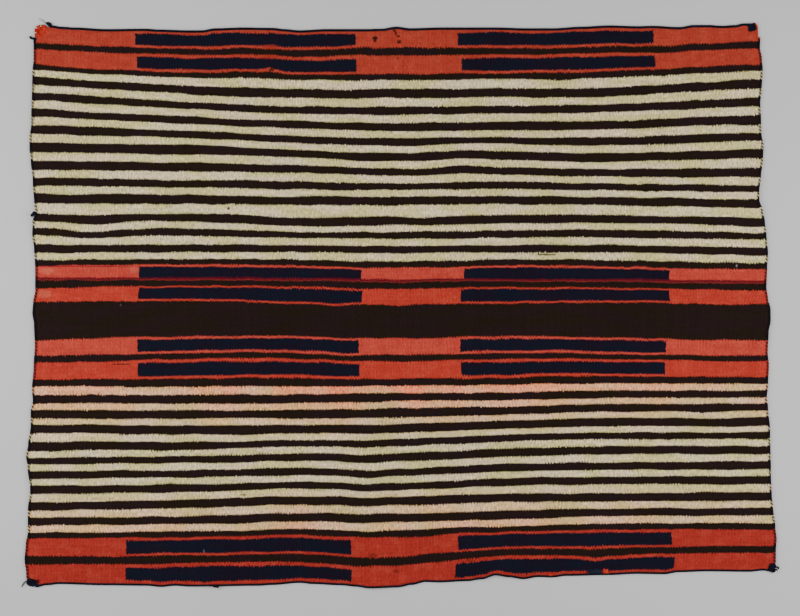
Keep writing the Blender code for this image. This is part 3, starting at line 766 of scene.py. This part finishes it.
bandedLook = bandedWool()
indigoLook = plainWool("twinedIndigoWool", "#06060E", "#0E1428")  # near black, bluer in places
mendingLook = plainWool("redMendingWool", "#A01A12", "#C0402C")  # brighter than the cloth's red
specksLook = plainWool("creamMendingWool", "#C9BE9C", "#DDD4B8")
print("materials made")

# The cloth: a row at each course's edge and a column for each warp. Every second warp lies lower,
# by relief (1 - cos(pi u / rib)) / 2, and the underside rises by the same.
sheet = {
    "relief": 0.35 * mm,
    "rim": 0.7 * mm,  # how far the edge reaches past the solid's to meet its cord
    "cornerRows": (0, 1.5, 4, 8, 13, 20),  # mm in from the top and the bottom edge
    "clear": 1.2,  # the next row is at least this much further in
    "wideRows": 5,  # more rows down the wide brown band
}


def clothPiece():
    count = int(loomWidth / weave["rib"])
    u = np.append(np.arange(count + 1) * weave["rib"], loomWidth)
    close = np.array(sheet["cornerRows"]) * mm
    clear = sheet["clear"] * close[-1]
    inner = (courseStarts > clear) & (courseStarts < loomHeight - clear)
    wide = np.linspace(startOf["wideBrown"], startOf["coral3"], sheet["wideRows"] + 2)[1:-1]
    v = np.sort(np.concatenate([close, courseStarts[inner], wide, loomHeight - close]))
    x = u - halfX
    y = plainUp(x, upOf(x, v))
    movedX, movedY, lift = clothPlace(np.broadcast_to(x, y.shape), y)
    movedX = movedX * (1 + sheet["rim"] / halfX)
    movedY = movedY * (1 + sheet["rim"] / halfY)
    valley = sheet["relief"] * (1 - np.cos(np.pi * u / weave["rib"])) / 2
    upper = np.stack([movedX, movedY, lift + blanket["thick"] - valley], axis=2)
    lower = np.stack([movedX, movedY, lift + valley], axis=2)
    rows, columns = len(v), len(u)
    below = rows * columns  # first vertex of the underside
    loom = np.stack(np.broadcast_arrays(u[None, :], v[:, None]), axis=2).reshape(-1, 2)
    grid = np.arange(below).reshape(rows, columns)
    around = np.concatenate([grid[0], grid[1:, -1], grid[-1, -2::-1], grid[-2::-1, 0]])
    now, after = around[:-1], around[1:]
    rim = np.stack([now, after, after + below, now + below], axis=1)
    faces = np.concatenate([
        gridFaces(rows, columns), gridFaces(rows, columns, below, turned=True), rim,
    ])
    places = np.concatenate([upper.reshape(-1, 3), lower.reshape(-1, 3)])
    return meshPiece("bandedCloth", places, faces, bandedLook, np.concatenate([loom, loom]))


cloth = clothPiece()
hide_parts("woven_cloth")
print("cloth:", sum(len(face.vertices) - 2 for face in cloth.data.polygons), "triangles")


# Edge cords. An end cord is two indigo strands twined round each other. In a side cord one of the
# two is the row of weft loops, in the courses' own colours, so that the indigo shows as dashes.
edgeCords = {
    # each strand's radius and how far it lies off the cord's middle
    "endStrand": {"top": (2.65 * mm, 0.6 * mm), "bottom": (2.1 * mm, 0.6 * mm)},
    "tie": (2.0 * mm, 1.05 * mm),
    "loops": (1.6 * mm, 1.15 * mm),
    # the cord's middle over what the cloth lies at, and how far it lies over the cloth's edge
    "height": {"top": 3.3 * mm, "bottom": 2.9 * mm, "left": 3.1 * mm, "right": 3.1 * mm},
    "over": {"top": 1.3 * mm, "bottom": 0.3 * mm, "left": 0.6 * mm, "right": 0.6 * mm},
    "endTurn": 9.0 * mm,  # length of a full turn
    "sideTurn": 8.2 * mm,
    "turnPoints": 10,
    "sides": 8,
    "endPoints": 1800,  # along an edge, before it is taken in even steps
    "sidePoints": 1400,
    "spans": {  # mm along the edge, and which way is out
        "top": (-855.0, 853.0, 1), "bottom": (-890.0, 901.0, -1),
        "left": (646.0, -668.5, -1), "right": (654.0, -629.5, 1),
    },
    # the left cord's loose top end, laid on the floor
    "stub": ((-903.0, 656.0), (-901.0, 652.4), (-896.5, 651.0), (-891.0, 650.6)),
    "stubRadius": 2.9 * mm,
    "stubPoints": 40,
}
cordRadius = blanket["cord"] / 2
upward = np.array([0, 0, 1.0])


def unit(vectors):
    return vectors / np.linalg.norm(vectors, axis=-1, keepdims=True)


def carried(path, reference, radius, sides):
    # a round strand along a path: rings of r (cos a, sin a) across it, a flat face at each end
    count = len(path)
    along = unit(np.gradient(path, axis=0))
    sideways = unit(np.cross(along, reference))
    over = np.cross(sideways, along)
    angle = np.linspace(0, 2 * np.pi, sides, endpoint=False)[None, :, None]
    ring = np.cos(angle) * sideways[:, None, :] + np.sin(angle) * over[:, None, :]
    places = path[:, None, :] + np.broadcast_to(radius, count)[:, None, None] * ring
    ring = np.arange(sides)
    first = np.arange(count - 1)[:, None] * sides
    now, after = first + ring, first + (ring + 1) % sides
    quads = np.stack([now, now + sides, after + sides, after], axis=2)
    ends = [list(range(sides)), list(range(count * sides - 1, (count - 1) * sides - 1, -1))]
    return places.reshape(-1, 3), quads.reshape(-1, 4).tolist() + ends


def joined(parts):
    # several (places, faces) as one, all faces listed
    places, faces, first = [], [], 0
    for partPlaces, partFaces in parts:
        places.append(partPlaces)
        faces += [[corner + first for corner in face] for face in partFaces]
        first += len(partPlaces)
    return np.concatenate(places), faces


def smoothLine(points, count):
    # a smooth curve through some points, in even steps from one to the next
    at = np.linspace(0, len(points) - 1, count)
    return smoothWeights(np.arange(len(points), dtype=float), at) @ points


def edgeLine(side):
    # the middle of an edge's cord, with the course (v) that it lies beside
    start, stop, outwards = edgeCords["spans"][side]
    if side in ("top", "bottom"):
        x = np.linspace(-halfX, halfX, edgeCords["endPoints"])
        y = np.full(len(x), halfY if side == "top" else -halfY)
        v = np.full(len(x), 0.0 if side == "top" else loomHeight)
        axis = 0
    else:
        v = np.linspace(0, loomHeight, edgeCords["sidePoints"])
        edge = np.array([halfX if side == "right" else -halfX])
        x, y = np.full(len(v), edge[0]), plainUp(edge, upOf(edge, v))[:, 0]
        axis = 1
    line = np.stack(clothPlace(x, y), axis=1)
    way = unit(np.gradient(line[:, :2], axis=0))
    reach = outwards * (cordRadius + blanket["edgeGap"] - edgeCords["over"][side])
    line[:, 0] -= way[:, 1] * reach
    line[:, 1] += way[:, 0] * reach
    line[:, 2] += edgeCords["height"][side]
    low, high = sorted((start * mm, stop * mm))
    kept = (line[:, axis] > low) & (line[:, axis] < high)
    return line[kept], v[kept]


def evenly(line, v, step):
    # the same line in even steps of length, its courses, and the length up to each point
    length = np.concatenate([[0], np.cumsum(np.linalg.norm(np.diff(line, axis=0), axis=1))])
    at = np.arange(0, length[-1], step)
    places = np.stack([np.interp(at, length, line[:, axis]) for axis in range(3)], axis=1)
    return places, np.interp(at, length, v), at


def twined(line, at, turn, phase, strand):
    # offset (cos t, sin t) across the line, t = 2 pi s / turn
    along = np.gradient(line, axis=0)
    level = unit(np.cross(along, upward))
    t = (2 * np.pi * at / turn + phase)[:, None]
    away = np.cos(t) * level + np.sin(t) * upward
    radius, offset = strand
    return carried(line + offset * away, away, radius, edgeCords["sides"])


def endCord(side):
    turn, strand = edgeCords["endTurn"], edgeCords["endStrand"][side]
    line, _, at = evenly(*edgeLine(side), turn / edgeCords["turnPoints"])
    strands = [twined(line, at, turn, phase, strand) for phase in (0, np.pi)]
    cord = meshPiece(side + "EndCord", *joined(strands), indigoLook)
    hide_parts("end_cord_" + side)
    return cord


def sideCord(side):
    turn, radius = edgeCords["sideTurn"], edgeCords["stubRadius"]
    edge, edgeV = edgeLine(side)
    line, v, at = evenly(edge, edgeV, turn / edgeCords["turnPoints"])
    at = at - at[-1]
    strands = [twined(line, at, turn, 0, edgeCords["tie"])]
    if side == "left":  # the stub runs into the cord's first few points
        stub = np.array([(across * mm, up * mm, radius) for across, up in edgeCords["stub"]])
        stub = smoothLine(np.vstack([stub, edge[0], edge[6]]), edgeCords["stubPoints"])
        strands.append(carried(stub, upward, radius, edgeCords["sides"]))
    tie = meshPiece(side + "SideCord", *joined(strands), indigoLook)
    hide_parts("side_cord_" + side)
    places, faces = twined(line, at, turn, np.pi, edgeCords["loops"])
    loom = np.stack([np.zeros(len(places)), np.repeat(v, edgeCords["sides"])], axis=1)
    loops = meshPiece(side + "WeftLoops", places, faces, bandedLook, loom)
    return [tie, loops]


shown = [cloth, endCord("top"), endCord("bottom"), *sideCord("left"), *sideCord("right")]
print("cords made")

# Knots: each lobe is cord wound over an egg, at (cos m cos n, sin m cos n, sin n) with m = 5t and
# n = 1.2 sin 2t, pressed level where it lies. All in mm.
knots = {
    "lobes": {  # across, up, long, wide, tall, turn in degrees, height of the middle
        "knot_top_left": (
            (-855.8, 685.5, 12.6, 10.2, 8, -20, 3.6), (-861.0, 688.2, 8.6, 6.6, 5.6, 35, 2.8),
        ),
        "knot_top_right": (
            (853.4, 681.4, 13, 13, 9, 20, 5.0), (861.0, 676.0, 12, 15, 10, -15, 5.4),
            (853.8, 672.8, 12, 11, 8, 40, 4.6), (861.2, 684.4, 9, 9, 7, 10, 4.4),
        ),
        "knot_bottom_left": (
            (-903.0, -674.2, 18, 20, 10, 12, 5.2), (-896.4, -676.2, 18, 19, 9, -15, 4.8),
            (-888.2, -680.8, 13, 9, 6, -15, 4.0),
        ),
        "knot_bottom_right": (
            (906.9, -635.8, 18.5, 16.5, 10, 20, 5.4), (908.3, -644.8, 14, 14, 9, -20, 5.0),
            (901.8, -642.4, 11, 14, 7, 5, 4.4),
        ),
        "knot_left_edge": (
            (-891.4, 224.6, 12, 10, 7, 25, 7.4), (-896.4, 219.8, 9, 9, 6, -10, 7.2),
        ),
        "knot_bottom_edge": (
            (-451.0, -683.0, 12, 8, 6, 12, 7.0), (-445.5, -684.6, 8, 6.5, 5, 0, 6.8),
        ),
    },
    "seats": {  # height of what each one lies on
        "knot_top_left": 0.2, "knot_top_right": 2.3, "knot_bottom_left": 2.3,
        "knot_bottom_right": 2.3, "knot_left_edge": 5.4, "knot_bottom_edge": 5.4,
    },
    "ends": {  # loose ends: radius at the knot and at the tip, then across, up, height
        "knot_top_left": (
            (0.6, 0.25, ((-860, 686, 3), (-868, 690, 3.2), (-875, 695, 2), (-884, 699.5, 0.6))),
            (0.35, 0.2, ((-860, 685, 3), (-867, 691, 3.6), (-872, 696.5, 2.2), (-880, 701, 0.6))),
        ),
        "knot_bottom_left": (
            (1.6, 0.9, ((-903.0, -675.0, 6.0), (-911.5, -671.8, 6.4), (-916.0, -674.5, 4.4),
                        (-920.5, -680.0, 2.4), (-924.0, -687.0, 1.2))),
        ),
        "knot_bottom_right": (
            (2.4, 1.8, ((908.0, -638.5, 6.0), (915.5, -637.0, 6.6), (920.8, -638.4, 5.0),
                        (922.4, -642.0, 3.4))),
            (2.2, 1.5, ((908.0, -641.0, 6.0), (915.0, -643.8, 6.0), (919.6, -645.2, 3.6))),
        ),
    },
    "strand": (1.25, 0.22),  # radius of the wound cord, and its largest share of a lobe
    "reach": 8,  # how far around its middle a knot feels for the cloth under it
    "points": {"wound": 220, "end": 48, "sides": 8, "coreRings": 14, "coreSides": 18},
    "core": 0.9,  # size of the egg under the wound cord
    "pole": 0.02,  # how near the core's first and last ring come to its poles
}


def knotLobe(row, lift, base):
    across, up, long, wide, tall, turn, middle = row
    points = knots["points"]
    t = np.linspace(0, 2 * np.pi, points["wound"])
    m, n = 5 * t, 1.2 * np.sin(2 * t)
    egg = np.stack([np.cos(m) * np.cos(n), np.sin(m) * np.cos(n), np.sin(n)], axis=1)
    thickest, share = knots["strand"]
    radius = min(thickest, share * tall, share * wide) * mm
    size = np.array([long, wide, tall]) * mm / 2 - radius
    angle = np.radians(turn)
    cos, sin = np.cos(angle), np.sin(angle)
    turned = np.array([[cos, sin, 0], [-sin, cos, 0], [0, 0, 1]])
    centre = np.array([across * mm, up * mm, middle * mm + lift])
    path, away = egg * size @ turned + centre, egg / size @ turned
    wound = carried(path, away, radius, points["sides"])
    # the core is a unit ball, rings of radius sin p at height cos p, squeezed to the egg
    p = np.linspace(knots["pole"], np.pi - knots["pole"], points["coreRings"])
    middles = np.stack([0 * p, 0 * p, np.cos(p)], axis=1)
    core, coreFaces = carried(middles, np.array([0, 1.0, 0]), np.sin(p), points["coreSides"])
    made = joined([wound, (core * size * knots["core"] @ turned + centre, coreFaces)])
    made[0][:, 2] = np.maximum(made[0][:, 2], base)
    return made


def knotPiece(name):
    rows, points = knots["lobes"][name], knots["points"]
    around = np.array([-1.0, 0.0, 1.0]) * knots["reach"] * mm
    across, up = rows[0][0] * mm, rows[0][1] * mm
    lift = float(np.max(liftAt(across + around[:, None], up + around[None, :])))
    parts = [knotLobe(row, lift, knots["seats"][name] * mm + lift) for row in rows]
    for atKnot, atTip, path in knots["ends"].get(name, ()):
        line = smoothLine(np.array(path) * mm, points["end"]) + lift * upward
        radii = np.linspace(atKnot, atTip, points["end"]) * mm
        parts.append(carried(line, upward, radii, points["sides"]))
    first, *others = name.split("_")
    camelName = first + "".join(word.title() for word in others)
    piece = meshPiece(camelName, *joined(parts), indigoLook)
    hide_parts(name)
    return piece


shown += [knotPiece(name) for name in knots["lobes"]]

# Overcast rims: each stitch is a short arch from the face over the rim, at the rewoven corner, at
# one end of the darn and at a small mend beside it
overcast = {
    # out in depths, up in mm
    "arch": ((-1.0, 2.6), (-0.5, 3.7), (-0.1, 3.9), (0.16, 2.8), (0.12, 1.5)),
    "points": {"rim": 900, "stitch": 14, "sides": 7},
    "apart": 2.5 * mm,
    "radius": 1.45 * mm,
    "lean": 2.0 * mm,
    "creamDepth": 2.0 * mm,
    "corner": {"from": (-866, 690), "to": (-895, 655), "depth": (6.5, 10.5), "cream": (4, 9, 14)},
    "darn": {"from": (497, -660), "to": (508, -660), "depth": (8.0, 11.0), "cream": ()},
    "seam": {"from": (362, -660), "to": (373, -660), "depth": (4.0, 6.0), "cream": ()},
}


def rimBetween(start, stop):
    # the cloth's rim anticlockwise from the place nearest one point to the nearest another
    side = np.linspace(-1, 1, overcast["points"]["rim"])
    end = np.ones(len(side))
    x = np.concatenate([side, end, -side, -end]) * halfX
    y = np.concatenate([-end, side, end, -side]) * halfY
    rim = np.stack(clothPlace(x, y), axis=1)
    first, last = (
        np.argmin(np.hypot(rim[:, 0] - across * mm, rim[:, 1] - up * mm))
        for across, up in (start, stop)
    )
    return rim[first:last]


def overcastPieces(where):
    row, points = overcast[where], overcast["points"]
    border = rimBetween(row["from"], row["to"])
    border = evenly(border, np.zeros(len(border)), overcast["apart"])[0]
    way = unit(np.gradient(border[:, :2], axis=0))
    stitches = {"Red": [], "Cream": []}
    for number in range(len(border)):
        depth = rng.uniform(*row["depth"]) * mm
        if number in row["cream"]:
            depth = overcast["creamDepth"]
        arch = np.array(overcast["arch"]) * (depth, mm)
        lean = np.linspace(-0.5, 0.5, len(arch))[:, None] * overcast["lean"]
        outward = np.array([way[number, 1], -way[number, 0]])
        path = np.zeros((len(arch), 3))
        path[:, :2] = border[number, :2] + arch[:, :1] * outward + lean * way[number]
        path[:, 2] = border[number, 2] + arch[:, 1]
        dye = "Cream" if number in row["cream"] else "Red"
        path, along = smoothLine(path, points["stitch"]), np.array([*way[number], 0])
        stitches[dye].append(carried(path, along, overcast["radius"], points["sides"]))
    made = []
    for dye, look in (("Red", mendingLook), ("Cream", specksLook)):
        if stitches[dye]:
            made.append(meshPiece(where + "Stitches" + dye, *joined(stitches[dye]), look))
    return made


shown += overcastPieces("corner") + overcastPieces("darn") + overcastPieces("seam")

# The cloth's red edge strand round the top right corner, dyed like the first course
cornerStrand = {
    "path": ((871.4, 652), (870.6, 662), (870, 672), (869.2, 680), (866.6, 685.4), (862, 688)),
    "radius": 2.4 * mm,
    "loom": (1.7, 0.012),  # across and down the loom, where its colour is read
    "points": 40,
    "sides": 8,
}
strandLine = smoothLine(
    np.array([(across * mm, up * mm, cordRadius) for across, up in cornerStrand["path"]]),
    cornerStrand["points"],
)
strandPlaces, strandFaces = carried(
    strandLine, upward, cornerStrand["radius"], cornerStrand["sides"]
)
strandLoom = np.tile(cornerStrand["loom"], (len(strandPlaces), 1))
shown.append(meshPiece("cornerStrand", strandPlaces, strandFaces, bandedLook, strandLoom))
for piece in shown:
    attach(piece, "root")
print("knots made:", len(shown), "pieces")

# Floor, light and camera
studio = {
    "floor": "#CBCBCB",
    "world": 0.5,
    "key": {"place": (-1.75, 0.1, 1.75), "size": 1.5, "power": 40},
    "fill": {"place": (1.75, -0.15, 1.8), "size": 1.5, "power": 37},
    "cameraHeight": 4.5,
    "sensor": 36,
    "shownWidth": 1.952,  # of the floor, across the picture
    "aim": (-0.001, -0.0061),
    "floorHalf": 4.0,
    "floorDrop": 0.3 * mm,  # under the blanket
}


def studioPieces():
    material, tree = newMaterial("paperFloor")  # plain matt grey paper
    grey = (*linear(studio["floor"]), 1)
    finish = {"Base Color": grey, "Roughness": 0.95, "Specular IOR Level": 0.1}
    addNode(tree, "OutputMaterial", [addNode(tree, "BsdfPrincipled", finish)])
    half, drop = studio["floorHalf"], studio["floorDrop"]
    corners = np.array([(-half, -half, -drop), (half, -half, -drop), (half, half, -drop),
                        (-half, half, -drop)])
    floor = meshPiece("floor", corners, np.array([[0, 1, 2, 3]]), material, smooth=False)
    world = bpy.data.worlds.new("softRoom")
    bpy.context.scene.world = world
    world.use_nodes = True
    background = world.node_tree.nodes["Background"]
    background.inputs[0].default_value = (1, 1, 1, 1)
    background.inputs[1].default_value = studio["world"]
    for name in ("key", "fill"):
        light = bpy.data.lights.new(name, "AREA")
        light.size, light.energy = studio[name]["size"], studio[name]["power"]
        lamp = bpy.data.objects.new(name, light)
        lamp.location = studio[name]["place"]
        lamp.rotation_euler = (-lamp.location).to_track_quat("-Z", "Y").to_euler()
        bpy.context.scene.collection.objects.link(lamp)
    lens = bpy.data.cameras.new("camera")
    lens.sensor_width = studio["sensor"]
    lens.lens = studio["sensor"] * studio["cameraHeight"] / studio["shownWidth"]
    camera = bpy.data.objects.new("camera", lens)
    camera.location = (*studio["aim"], studio["cameraHeight"])
    bpy.context.scene.collection.objects.link(camera)
    bpy.context.scene.camera = camera


studioPieces()
print("studio made")
